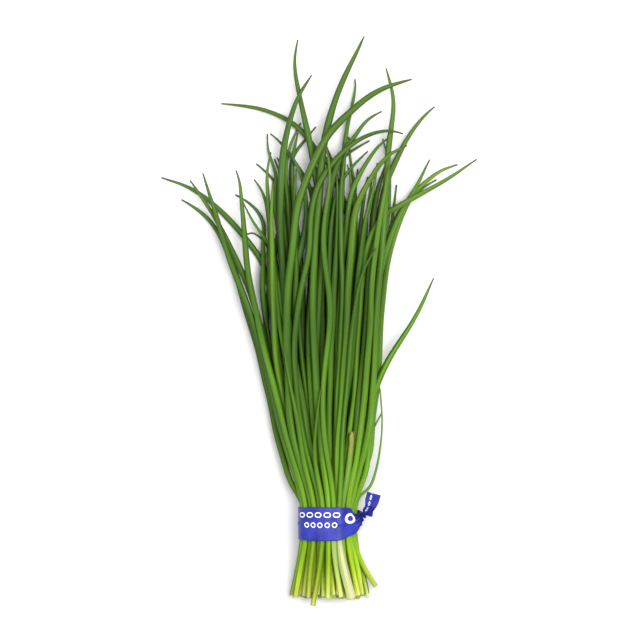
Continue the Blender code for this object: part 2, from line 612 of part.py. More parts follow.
def strand(station, side, knot, axis):
    """One end of the strip from the loop outward: gathered to the knot, once round the twist, then a tail."""
    start, look, half, thick = station
    upright = np.array([0.0, 0.0, 1.0])
    across = np.cross(upright, axis)
    offset = 0.13
    found = []
    # From the loop to the knot: a cubic curve that leaves the loop along it and meets the twist's axis.
    leave = side * np.array([look[2], 0.0, -look[0]])
    end = knot + side * offset * upright
    span = np.linalg.norm(end - start)
    one = start + 0.45 * span * leave
    two = end - 0.35 * span * axis
    for t in np.linspace(0, 1, 11)[1:]:
        centre = (1 - t) ** 3 * start + 3 * t * (1 - t) ** 2 * one + 3 * t * t * (1 - t) * two + t**3 * end
        way = 3 * (1 - t) ** 2 * (one - start) + 6 * t * (1 - t) * (two - one) + 3 * t * t * (end - two)
        wide = (1 - t * t) * np.array([0.0, 1.0, 0.0]) + t * t * across
        way /= np.linalg.norm(way)
        wide = wide - np.dot(wide, way) * way
        wide /= np.linalg.norm(wide)
        normal = side * np.cross(way, wide)
        blend = t * t * (3 - 2 * t)
        found.append((centre, wide, normal, half + (GATHER_HALF - half) * blend,
                      thick + (GATHER_THICK - thick) * blend))
    # The twist: both strands turn once round the axis, inner faces together.
    for t in np.linspace(0, 1, 23)[1:]:
        turn = 2 * np.pi * t
        normal = np.cos(turn) * upright + np.sin(turn) * across
        wide = np.cos(turn) * across - np.sin(turn) * upright
        centre = knot + TWIST_LENGTH * t * axis + side * offset * normal
        found.append((centre, wide, side * normal, GATHER_HALF, GATHER_THICK))
    # The tail bends away from the axis in plan and rises or dips a little.
    centre = found[-1][0].copy()
    length = TAIL_LONG if side > 0 else TAIL_SHORT
    bend = np.radians(34 if side > 0 else -50)
    opened = TAIL_HALF if side > 0 else GATHER_HALF + 0.4
    for t in np.linspace(0, 1, 8)[1:]:
        turn = TWIST_WAY + bend * min(1.0, 1.8 * t)
        slope = side * 0.22 * t
        way = np.array([np.cos(turn), np.sin(turn), slope])
        way /= np.linalg.norm(way)
        centre = centre + way * length / 7
        wide = np.cross(upright, way)
        wide /= np.linalg.norm(wide)
        normal = side * np.cross(way, wide)
        spread = min(1.0, 1.5 * t)
        spread = spread * spread * (3 - 2 * spread)
        half = GATHER_HALF + (opened - GATHER_HALF) * spread
        found.append((centre, wide, normal, half, GATHER_THICK - 0.4 * spread))
    return found


def ribbon_profile(half, thick):
    """Twelve corners across the strip and the six round the wire's channel: width first, then height."""
    pressed = abs(thick - RIBBON_PRESSED) < 0.01
    top = thick if pressed else max(RIBBON_RIB, thick + 0.3)
    edge = 0.16
    right = [(half - edge, 0.0), (half, edge), (half, thick - edge), (half - edge, thick), (0.95, thick)]
    right.append((0.45, top))
    outer = np.array(right + [(-x, z) for x, z in right[::-1]])
    turn = np.arange(6) * np.pi / 3 - np.pi / 2
    inner = np.stack([np.cos(turn), np.sin(turn)], axis=1) * CHANNEL_RADIUS + (0, CHANNEL_RISE)
    return outer, inner


def zip_loops(outer, inner, first, second):
    """Triangles between two loops round one middle, taking the next corner of whichever is behind."""
    middle = np.array([0.0, CHANNEL_RISE])
    angles = []
    for loop in (outer, inner):
        out = loop - middle
        angles.append(np.unwrap(np.arctan2(out[:, 1], out[:, 0])))
    angles[1] = angles[1] + 2 * np.pi * np.round((angles[0][0] - angles[1][0]) / (2 * np.pi))
    i = 0
    j = 0
    faces = []
    while i < len(outer) or j < len(inner):
        next_i = angles[0][(i + 1) % len(outer)] + 2 * np.pi * ((i + 1) // len(outer))
        next_j = angles[1][(j + 1) % len(inner)] + 2 * np.pi * ((j + 1) // len(inner))
        if j >= len(inner) or (i < len(outer) and next_i <= next_j):
            faces.append((first + i % len(outer), first + (i + 1) % len(outer), second + j % len(inner)))
            i += 1
        else:
            faces.append((second + (j + 1) % len(inner), second + j % len(inner), first + i % len(outer)))
            j += 1
    return faces


def ribbon(name, stations, slot):
    """The tie: its profile carried through every station, with a channel for the wire from end to end."""
    points = []
    for centre, wide, normal, half, thick in stations:
        outer, inner = ribbon_profile(half, thick)
        for x, z in (*outer, *inner):
            points.append(centre + x * wide + z * normal)
    faces = []
    for row in range(len(stations) - 1):
        low = 18 * row
        for k in range(12):
            m = (k + 1) % 12
            faces.append((low + k, low + m, low + 18 + m, low + 18 + k))
        for k in range(6):
            m = (k + 1) % 6
            faces.append((low + 12 + m, low + 12 + k, low + 30 + k, low + 30 + m))
    for row, back in ((0, True), (len(stations) - 1, False)):
        outer, inner = ribbon_profile(*stations[row][3:])
        for face in zip_loops(outer, inner, 18 * row, 18 * row + 12):
            faces.append(face[::-1] if back else face)
    return solid(name, points, faces, slot)


def wire(name, stations, slot):
    """The wire inside the tie, its ends just proud of the ribbon's."""
    line = [centre + CHANNEL_RISE * normal for centre, _, normal, _, _ in stations]
    points = []
    turn = np.arange(6) * np.pi / 3 - np.pi / 2
    for row, (_, wide, normal, _, _) in enumerate(stations):
        middle = line[row]
        if row == 0:
            middle = middle + 0.06 * (line[0] - line[1])
        elif row == len(stations) - 1:
            middle = middle + 0.06 * (line[-1] - line[-2])
        for angle in turn:
            points.append(middle + WIRE_RADIUS * (np.cos(angle) * wide + np.sin(angle) * normal))
    faces = []
    for row in range(len(stations) - 1):
        for k in range(6):
            m = (k + 1) % 6
            faces.append((6 * row + k, 6 * row + m, 6 * row + 6 + m, 6 * row + 6 + k))
    faces.append(tuple(reversed(range(6))))
    faces.append(tuple(6 * (len(stations) - 1) + k for k in range(6)))
    return solid(name, points, faces, slot)


def main():
    """Build the bunch."""
    clear_scene()
    leaf = material("leaf", MATERIALS["leaf"], 0.45)
    bright = material("leaf_bright", MATERIALS["leaf_bright"], 0.42)
    dry = material("leaf_dry", MATERIALS["leaf_dry"], 0.6)
    made, places = bunch_lines()
    halves = {}
    for mark, line in made:
        if mark >= 0:
            slot = dry if mark in DRY else bright if mark in BRIGHT else leaf
            tube(f"leaf_{mark + 1:02d}", line[:, :3], line[:, 3], slot)
        else:
            halves[-1 - mark] = tube(f"half_{-mark}", line[:, :3], line[:, 3], leaf)
    for number in range(SHOOTS):
        join(f"shoot_{number + 1:02d}", [halves[2 * number], halves[2 * number + 1]])
    stations = ribbon_stations(places)
    ribbon("tie_ribbon", stations, material("ribbon", MATERIALS["ribbon"], 0.35))
    wire("tie_wire", stations, material("wire", MATERIALS["wire"], 0.3, 1.0))


main()
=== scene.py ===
"""A bunch of fresh chives lying on a pale surface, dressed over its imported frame.

Every leaf is read ring by ring from its solid and made again as a fine hollow tube on a smooth line.  The tie
is read station by station in the same way and made as a film with its ridge, pleats and printed marks.
"""

import bpy
import numpy as np
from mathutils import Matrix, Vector


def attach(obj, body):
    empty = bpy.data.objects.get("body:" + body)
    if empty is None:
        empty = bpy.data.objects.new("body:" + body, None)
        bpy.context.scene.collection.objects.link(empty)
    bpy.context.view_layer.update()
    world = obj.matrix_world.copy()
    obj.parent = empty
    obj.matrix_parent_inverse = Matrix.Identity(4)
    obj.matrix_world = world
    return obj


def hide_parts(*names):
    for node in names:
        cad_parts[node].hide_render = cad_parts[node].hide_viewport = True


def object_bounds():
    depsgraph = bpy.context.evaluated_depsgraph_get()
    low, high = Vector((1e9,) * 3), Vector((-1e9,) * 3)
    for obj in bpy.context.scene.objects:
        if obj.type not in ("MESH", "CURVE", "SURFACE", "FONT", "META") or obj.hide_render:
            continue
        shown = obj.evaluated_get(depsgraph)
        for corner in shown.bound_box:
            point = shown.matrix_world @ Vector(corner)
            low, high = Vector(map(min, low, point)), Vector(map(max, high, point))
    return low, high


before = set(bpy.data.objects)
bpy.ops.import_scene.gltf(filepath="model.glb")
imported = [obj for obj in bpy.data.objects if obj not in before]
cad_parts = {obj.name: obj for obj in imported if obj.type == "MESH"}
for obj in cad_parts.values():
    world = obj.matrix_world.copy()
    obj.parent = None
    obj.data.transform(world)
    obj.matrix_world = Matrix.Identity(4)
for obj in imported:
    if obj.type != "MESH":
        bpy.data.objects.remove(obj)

CAD_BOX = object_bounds()
MM = 0.001
SEED = 5

# ---------------------------------------------------------------- the bunch, as its maker sorts it
WAIST = 9.4  # the leaves run straight this far either side of the tie's middle, in mm
LEAF_SIDES = 6  # corners of one ring of a leaf's solid, and of the wire's
RING_NEAR = 1.5  # a leaf's ring at the waist is this near to it, in mm
FOOT_TOP = 4  # the joined foot of a shoot lies further below the waist than this
FOOT_APART = 0.6  # the leaves of a shoot part from its foot by this much to each side
FOOT_LEAN = 0.35  # and half way to their own rings they have come this share more than half of the way
TORN = "leaf_46"
WISP = "leaf_49"
PALE = {"leaf_33": 1.0, "leaf_48": 0.4, "leaf_31": 0.3}  # bleached near their cut ends, by this share
BRIGHT = ("leaf_10", "leaf_30", "leaf_38", "leaf_40", "leaf_44", "leaf_45", "leaf_47")

# Corners of the wisp's side branch, free end first, in mm: x from the wisp, y, and height above the wisp.
TWIG = ((-3.5, 47.6, -0.3), (-2.8, 49.6, 0.1), (-1.4, 52.2, 0.2), (-0.1, 54.6, 0.0))
TWIG_SIDES = 12
TWIG_RADIUS = (0.1, 0.34)  # at its free end, and what it gains over the next TWIG_NECK
TWIG_NECK = 3.0

# Leaves with a tone and shade of their own: yellower above 0 and bluer below, then the lightness.
OWN_TONE = {
    "leaf_01": (0.1, 0.98),
    "leaf_02": (0.2, 0.92),
    "leaf_03": (0.1, 0.9),
    "leaf_04": (0.2, 1.02),
    "leaf_10": (0.9, 1.2),
    "leaf_17": (-0.4, 0.84),
    "leaf_21": (0.0, 0.94),
    "leaf_22": (-0.1, 0.95),
    "leaf_23": (0.0, 0.98),
    "leaf_24": (0.0, 0.84),
    "leaf_31": (0.0, 0.8),
    "leaf_34": (0.3, 1.1),
    "leaf_36": (0.3, 1.1),
    "leaf_37": (0.4, 1.12),
    "leaf_38": (0.7, 1.2),
    "leaf_39": (0.7, 1.2),
    "leaf_40": (0.5, 1.1),
    "leaf_41": (0.6, 1.15),
    "leaf_42": (0.5, 1.4),
    "leaf_44": (0.1, 0.76),
    "leaf_45": (0.1, 0.74),
    "leaf_47": (0.4, 1.04),
    "leaf_48": (0.2, 1.0),
}

# Tone and shade of the others, drawn at random.
TONE_SPREAD = 0.35
TONE_LIMIT = 0.8
SHADE_RANGE = (0.78, 1.14)
BRIGHT_TONE = 0.1  # a bright leaf has this tone at least, and this shade at most
BRIGHT_SHADE = 0.96

AROUND = 20  # sides of a finished leaf
ROW_STEP = 2.2  # spacing of its rings, in mm
WALL = 0.38  # thickness of a leaf's wall at the cut
BORE = 3.2  # depth to which the hollow is open
TAPER = 46.0  # a leaf narrows over this much before its tip
TAPER_POWER = 0.4
TIP_RADIUS = 0.42
SWELL = 0.035  # its radius swells and thins by this share
WANDER = 0.16  # its middle line strays by this much
WANDER_FROM = 45  # but not this near to the cut end, nor at the tip
WANDER_FADE = 30
WANDER_END = 12
FLATNESS = 0.88  # its height over its width
FLAT_SWAY = 0.06
PRESS_FADE = 40  # leaves are pressed wide and flat at the tie, and less and less for this much beyond
PRESS_WIDE = 0.11
PRESS_FLAT = 0.05
GROOVE = 0.42  # half the angle that a leaf's groove covers
GROOVE_TURN = (0.2, 2.9)  # where round the leaf it may lie, on its upper side
GROOVE_DEEP = (0.02, 0.16)  # how deep it may be, as a share of the radius
CUT_SLANT = 0.6  # a cut end is slanted by up to this share of its radius
SLANT_FADE = 3.6
CUT_RAG = 0.6  # a cut end is torn by up to 3.2 times this
RAG_FADE = 3.2
TORN_RAG = 2.3  # the torn leaf's end is ragged by about this much
# Where a leaf is deep in the bunch and gets painted shade: how far that reaches, and over how much it fades.
NEAR_TIE = (50, 40)  # from the cut ends up
THICK_MIDDLE = -4  # x of the thick of the bunch
THICK_SIDE = (14, 14)  # to each side of it
THICK_TOP = (120, 50)  # in y
LOW_DOWN = (5, 9)  # above the ground

FILM = 0.34  # thickness of the tie's film
FULL_HALF = 8.5  # half its width where it lies flat
CHANNEL_RISE = 0.5  # middle of the wire above the film's inner face
RIDGE = 0.36  # height of the ridge over the wire
RIDGE_WIDE = 0.75
FILM_STEP = 0.3
TAIL = 9.5  # the long tail is flat from its end to here
TAIL_FADE = 3.5
TIGHT = 2.9  # a tail's film is more than this to each side of its middle
GATHER_START = 6.4  # the film is gathered where it is less than this to each side
GATHER_FADE = 3.6
TWIST_START = 12  # the twist and the tails lie beyond this x
STATION_DEEP = 0.12  # corners this near to a station's plane are its own
STATION_HIGH = 1.1  # if they are no further than this above or below the wire
STATION_EDGE = 0.4  # those this near to an edge of the film give its height
SMOOTH_NARROW = 9  # stations over which the twist and tails are averaged
SMOOTH_BROAD = 23  # and those over which the loop is
EDGE_HIGH = 0.62  # its outer face stands at most this high over the solid's inner one, away from the ridge
PLEAT_DEEP = 0.42  # pleats go this far up and down from there
PLEATS = 3.75  # waves across the gathered film
EDGE_SHADE_WIDE = 0.45  # width of the painted shade along the film's edges
EDGE_SHADE_DARK = (0.5, 0.3)  # how dark that painted shade is, and how much more in the tails
EDGE_IN = 0.997  # its faces end at this share of half its width, and its rims reach all of it
FILM_POINTS = 41  # across one face of the film
CLEAR = 0.02  # leaves and film stay this far above the ground

# The set, in metres.
FLOOR_REACH = 6.0
SURROUND = 0.56  # brightness of the surround
LAMP_AIM = (0, 0.1, 0)
LAMP_SIZE = 1.0
KEY = ((0.50, 0.36, 1.5), 27.0)  # place and power in watts
FILL = ((-0.9, -0.1, 1.3), 8.0)
CAMERA_HEIGHT = 2.2
CAMERA_SHIFT = 0.0005  # to the right and up from the middle of the bunch
SENSOR = 36.0  # in mm
VIEW_WIDE = 0.320  # the camera sees this width, at VIEW_HIGH above the ground
VIEW_HIGH = 0.008


# ---------------------------------------------------------------- reading the solids
def welded(node):
    """The corners of a node in mm, each once, and a square table that says which of them an edge joins."""
    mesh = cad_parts[node].data
    spots = np.empty(len(mesh.vertices) * 3)
    mesh.vertices.foreach_get("co", spots)
    mesh.calc_loop_triangles()
    faces = np.empty(len(mesh.loop_triangles) * 3, np.int32)
    mesh.loop_triangles.foreach_get("vertices", faces)
    spots, index = np.unique(np.round(spots.reshape(-1, 3) / MM, 3), axis=0, return_inverse=True)
    faces = index.reshape(-1)[faces].reshape(-1, 3)
    joined = np.zeros((len(spots), len(spots)), bool)
    for a, b in ((0, 1), (1, 2), (2, 0)):
        joined[faces[:, a], faces[:, b]] = True
        joined[faces[:, b], faces[:, a]] = True
    return spots, joined


def walk(joined, ring, met, size):
    """Ring after ring: each is what the last is joined to and no earlier one holds, while it has the size."""
    met = met | ring
    found = []
    while ring.sum() == size:
        found.append(np.flatnonzero(ring))
        ring = joined[ring].any(axis=0) & ~met
        met |= ring
    return found


def leaves_of(node):
    """Each leaf in the node as the middles of its rings and their radii, x y z r in mm, cut end first."""
    spots, joined = welded(node)
    above = spots[:, 1] > WAIST - RING_NEAR
    waist = np.abs(spots[:, 1] - WAIST) < RING_NEAR
    found = []
    while waist.any():
        ring = np.zeros(len(spots), bool)
        ring[np.flatnonzero(waist)[0]] = True
        for _ in range(LEAF_SIDES):
            ring |= joined[ring].any(axis=0) & waist
        waist &= ~ring
        up = walk(joined, ring, ~above, LEAF_SIDES)
        down = walk(joined, ring, above & ~ring, LEAF_SIDES)[1:]
        rings = [spots[row] for row in down[::-1] + up]
        middles = np.array([row.mean(axis=0) for row in rings])
        radii = [np.linalg.norm(row - middle, axis=1).mean() for row, middle in zip(rings, middles)]
        line = np.column_stack([middles, radii])
        if len(down) < 3:
            # Two leaves of a shoot share this end: it is found from the lowest corners of both.
            foot = spots[np.argsort(spots[:, 1])[:LEAF_SIDES]].mean(axis=0)
            foot[0] += FOOT_APART * np.sign(line[0, 0] - foot[0])
            line = line[1:] if line[0, 1] < -WAIST - FOOT_TOP else line
            half = 0.5 * (foot + line[0, :3]) - (FOOT_LEAN * (foot[0] - line[0, 0]), 0, 0)
            line = np.vstack([[*foot, line[0, 3]], [*half, line[0, 3]], line])
        found.append(line)
    return found


# ---------------------------------------------------------------- curves
def natural_spline(knots, values, at):
    """Points of the natural cubic through the values: its second derivative is zero at both ends, and inside
    it is the one for which the slopes of neighbouring pieces meet."""
    values = np.asarray(values, float)
    gap = np.diff(knots)
    count = len(knots)
    if count < 3:
        share = ((at - knots[0]) / gap[0])[:, None]
        return values[0] + share * (values[1] - values[0])
    rows = np.eye(count)
    right = np.zeros_like(values)
    inner = np.arange(1, count - 1)
    rows[inner, inner - 1] = gap[:-1]
    rows[inner, inner] = 2 * (gap[:-1] + gap[1:])
    rows[inner, inner + 1] = gap[1:]
    slope = np.diff(values, axis=0) / gap[:, None]
    right[inner] = 6 * (slope[1:] - slope[:-1])
    bend = np.linalg.solve(rows, right)
    piece = np.clip(np.searchsorted(knots, at, side="right") - 1, 0, count - 2)
    width = gap[piece][:, None]
    high = (at - knots[piece])[:, None] / width
    low = 1 - high
    cubic = ((low**3 - low) * bend[piece] + (high**3 - high) * bend[piece + 1]) * width**2 / 6
    return low * values[piece] + high * values[piece + 1] + cubic


def waves(rng, run, lengths):
    """A smooth random value near -1 to 1 along a run: the sum of sines of about these lengths with random
    phases, divided by the root of their number."""
    total = np.zeros_like(run)
    for length in lengths:
        total += np.sin(2 * np.pi * run / (length * rng.uniform(0.8, 1.25)) + rng.uniform(0, 2 * np.pi))
    return total / len(lengths) ** 0.5


def run_along(points):
    """The distance of each point from the first, along straight runs from point to point."""
    return np.concatenate([[0], np.cumsum(np.linalg.norm(np.diff(points, axis=0), axis=1))])


def full_turn(sides):
    """The angles of this many even steps round a circle."""
    return np.arange(sides) * 2 * np.pi / sides


def unit(rows):
    """Each row divided by its length."""
    return rows / np.linalg.norm(rows, axis=-1, keepdims=True)


def ease(value):
    """0 to 1 along the smooth step 3t^2 - 2t^3."""
    t = np.clip(value, 0, 1)
    return t * t * (3 - 2 * t)


def fading(value, start, over):
    """1 up to the start, then down to 0 over this much along the smooth step."""
    return 1 - ease((value - start) / over)


# ---------------------------------------------------------------- surfaces
def spread_out(middle, side, up, sideways, upward):
    """A grid of points: the middle of each row, moved to the side and up by a row of amounts."""
    return middle[:, None] + sideways[..., None] * side[:, None] + upward[..., None] * up[:, None]


def skin(name, grid, look, around, along, fields, strip=False):
    """A closed tube from a grid of rows by columns: quads between neighbours, the last column meeting the
    first, and a fan to one middle point at each end.  UV is the turn and the run; fields are point values.
    The columns of a tube turn leftward along its run, those of a strip rightward, and each is wound so that
    its faces point outwards."""
    rows, columns = grid.shape[:2]
    points = np.vstack([grid.reshape(-1, 3), grid[0].mean(axis=0), grid[-1].mean(axis=0)]) * MM
    row = np.arange(rows - 1)[:, None] * columns
    column = np.arange(columns)[None, :]
    after = (column + 1) % columns
    quads = np.stack([row + column, row + after, row + columns + after, row + columns + column], axis=2)
    quads = quads.reshape(-1, 4)
    first = rows * columns
    last = (rows - 1) * columns
    column = column.reshape(-1)
    after = after.reshape(-1)
    start = np.stack([column, np.full(columns, first), after], axis=1)
    end = np.stack([last + column, last + after, np.full(columns, first + 1)], axis=1)
    if not strip:
        quads, start, end = quads[:, ::-1], start[:, ::-1], end[:, ::-1]
    mesh = bpy.data.meshes.new(name)
    mesh.from_pydata(points.tolist(), [], quads.tolist() + start.tolist() + end.tolist())
    corners = np.empty(len(mesh.loops), np.int32)
    mesh.loops.foreach_get("vertex_index", corners)
    turn = np.append(np.broadcast_to(around, (rows, columns)).reshape(-1), [0.5, 0.5])[corners]
    run = np.append(np.broadcast_to(along, (rows, columns)).reshape(-1), [along.min(), along.max()])[corners]
    if not strip:
        # The quad that closes the turn ends at 1 and not at 0.
        wrap = 4 * (np.arange(1, rows) * columns - 1)
        turn[wrap + 1] = 1.0
        turn[wrap + 2] = 1.0
    uv = mesh.uv_layers.new(name="UVMap")
    uv.data.foreach_set("uv", np.stack([turn, run], axis=1).reshape(-1))
    for key, value in fields.items():
        value = np.broadcast_to(value, (rows, columns))
        layer = mesh.attributes.new(key, "FLOAT", "POINT")
        ends = [value[0].mean(), value[-1].mean()]
        layer.data.foreach_set("value", np.append(value.reshape(-1), ends).astype(np.float32))
    mesh.shade_smooth()
    mesh.materials.append(look)
    piece = bpy.data.objects.new(name, mesh)
    bpy.context.scene.collection.objects.link(piece)
    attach(piece, "root")
    return piece


def leaf_rows(length, open_end):
    """Where the rings of a leaf stand along it and their share of its radius: up the bore to the rim, over
    it, and on to the tip, closer together at both ends."""
    middle = np.linspace(3.0, length - 9, int((length - 12) / ROW_STEP))
    outside = np.concatenate([[0.12, 0.5, 1.2], middle, length - np.array([7.5, 6, 4.6, 3.4, 2.4, 1.6, 0.9])])
    bore = np.array([BORE, BORE - 0.5, BORE / 2, 0.3, 0.02, 0.0])
    bore_share = np.array([-2.2, -1.15, -1.0, -1.0, -0.9, -0.12])
    where = np.concatenate([bore, outside])
    share = np.concatenate([bore_share, np.ones(len(outside))])
    if open_end:
        where = np.concatenate([where, [length - 0.1, length, length - 0.02, length - 1.5, length - 3]])
        share = np.concatenate([share, [1.0, -0.12, -0.9, -1.0, -1.6]])
    else:
        where = np.concatenate([where, [length - 0.35, length - 0.08, length]])
        share = np.concatenate([share, [0.92, 0.7, 0.34]])
    return where, share


def tapered(left):
    """The share of its full radius that a leaf has this far before its tip: a power of the distance."""
    return np.minimum(1, left / TAPER) ** TAPER_POWER


def leaf_course(line, where, open_end, rng):
    """The middle, direction, side, up and radius of a leaf at these places along it.  The middle is the
    natural cubic through the solid's rings, and strays a little.  The radius is the rings' own, straight
    from ring to ring, with their taper taken out and the finished leaf's put in, and a slow random swell."""
    knots = run_along(line[:, :3])
    length = knots[-1]
    left = length - where
    ahead = np.minimum(where + 0.5, length)
    middle = natural_spline(knots, line[:, :3], where)
    way = unit(natural_spline(knots, line[:, :3], ahead) - natural_spline(knots, line[:, :3], ahead - 1.0))
    taper = np.ones(len(where)) if open_end else tapered(left)
    knot_taper = np.ones(len(knots)) if open_end else tapered(length - knots)
    full = line[:, 3] / np.maximum(knot_taper, 0.2)
    full[-1] = full[-2]
    radius = np.interp(where, knots, full) * taper
    radius *= 1 + SWELL * waves(rng, where, (22, 47, 90))
    radius = np.maximum(radius, TIP_RADIUS)
    side = unit(np.cross(way, (0.0, 0.0, 1.0)))
    up = np.cross(side, way)
    wander = WANDER * waves(rng, where, (38, 75))[:, None] * side
    wander = wander * ease((where - WANDER_FROM) / WANDER_FADE)[:, None]
    middle = middle + wander * ease(left / WANDER_END)[:, None]
    middle[:, 2] = np.maximum(middle[:, 2], 0.96 * radius + CLEAR)
    return middle, way, side, up, radius


def cut_push(where, angle, radius, rng):
    """How far each point near a cut end is pushed up the leaf: a slant, as the cosine round it, and a tear,
    as two sines round it.  Both fade as an exponential along the leaf, and neither is ever below zero."""
    slant = rng.uniform(-CUT_SLANT, CUT_SLANT)
    turned = angle - rng.uniform(0, 6)
    torn = CUT_RAG * rng.uniform(0, 1) ** 2 * (1.6 + np.sin(3 * turned) + 0.6 * np.sin(5 * angle + 1))
    push = np.exp(-where / SLANT_FADE)[:, None] * (slant * np.cos(turned) + abs(slant)) * radius[:, None]
    return push + np.exp(-where / RAG_FADE)[:, None] * torn


def depth_shade(middle, where):
    """How deep each ring lies in the bunch, 0 to 1, which weighs its painted shade: low down, and near the
    tie or in the thick of it.
    """
    near_tie = fading(where, *NEAR_TIE)
    amid = fading(np.abs(middle[:, 0] - THICK_MIDDLE), *THICK_SIDE) * fading(middle[:, 1], *THICK_TOP)
    return fading(middle[:, 2], *LOW_DOWN) * np.maximum(near_tie, amid)


def leaf(name, node, line, rng, look, tone, shade, pale=0.0, open_end=False):
    """One leaf.  Across, it is an ellipse a little flatter than wide, with a soft groove that wanders round
    it; a share below zero is a ring inside the wall, that many wall thicknesses in from the outside."""
    length = run_along(line[:, :3])[-1]
    where, share = leaf_rows(length, open_end)
    left = length - where
    middle, way, side, up, radius = leaf_course(line, where, open_end, rng)
    flat = FLATNESS + FLAT_SWAY * waves(rng, where, (60, 130))
    pressed = fading(np.abs(middle[:, 1]), WAIST, PRESS_FADE)
    wide = 1 + PRESS_WIDE * pressed
    flat -= PRESS_FLAT * pressed
    angle = full_turn(AROUND)
    groove = rng.uniform(*GROOVE_TURN) + 0.5 * waves(rng, where, (120,))
    depth = rng.uniform(*GROOVE_DEEP) * ease(where / 60) * ease(left / 30)
    depth *= 0.6 + 0.4 * waves(rng, where, (70,))
    off = np.angle(np.exp(1j * (angle[None, :] - groove[:, None])))
    reach = np.where(share > 0, share * radius, np.maximum(radius + share * WALL, 0.06))[:, None]
    reach = reach * (1 - depth[:, None] * np.exp(-((off / GROOVE) ** 2)))
    grid = spread_out(middle, side, up, reach * wide[:, None] * np.cos(angle),
                      reach * np.sin(angle) * flat[:, None])
    grid += cut_push(where, angle, radius, rng)[..., None] * way[:, None]
    if open_end:
        rag = np.exp(-left / 2.5)[:, None] * (np.abs(np.sin(1.5 * angle + 0.7)) + 0.4 * np.sin(4 * angle))
        grid += (TORN_RAG * rag)[..., None] * -way[:, None]
    fields = {
        "rise": where[:, None] * MM,
        "left": left[:, None] * MM,
        "tone": tone,
        "shade": shade,
        "pale": pale,
        "inside": (share < -0.05).astype(float)[:, None],
        # How deep the ring lies in the bunch: the weight of its painted shade.
        "under": depth_shade(middle, where)[:, None],
    }
    piece = skin(name, grid, look, angle[None, :] / (2 * np.pi), where[:, None] * MM, fields)
    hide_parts(node)


def twig(name, node, line, look):
    """The thin side branch of the wisp: a round tube on a natural cubic from its free end to the wisp, its
    radius falling to the free end along a quarter circle."""
    run = np.arange(len(line))
    fine = natural_spline(run, line[:, :3], np.linspace(0, run[-1], 200))
    x_there, z_there = (np.interp(TWIG[-1][1], fine[:, 1], fine[:, k]) for k in (0, 2))
    corners = np.array([(x_there + x, y, z_there + rise) for x, y, rise in TWIG])
    knots = run_along(corners)
    at = np.linspace(0, knots[-1], 18)
    middle = natural_spline(knots, corners, at)
    way = unit(np.gradient(middle, axis=0))
    side = unit(np.cross(way, (0.0, 0.0, 1.0)))
    up = np.cross(side, way)
    share = np.clip(at / TWIG_NECK, 0, 1)
    radius = TWIG_RADIUS[0] + TWIG_RADIUS[1] * np.sqrt(1 - (1 - share) ** 2)
    angle = full_turn(TWIG_SIDES)
    grid = spread_out(middle, side, up, radius[:, None] * np.cos(angle), radius[:, None] * np.sin(angle))
    piece = skin(name, grid, look, angle[None, :] / (2 * np.pi), at[:, None] * MM,
                 {"left": 0.03, "rise": 0.1})
    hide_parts(node)


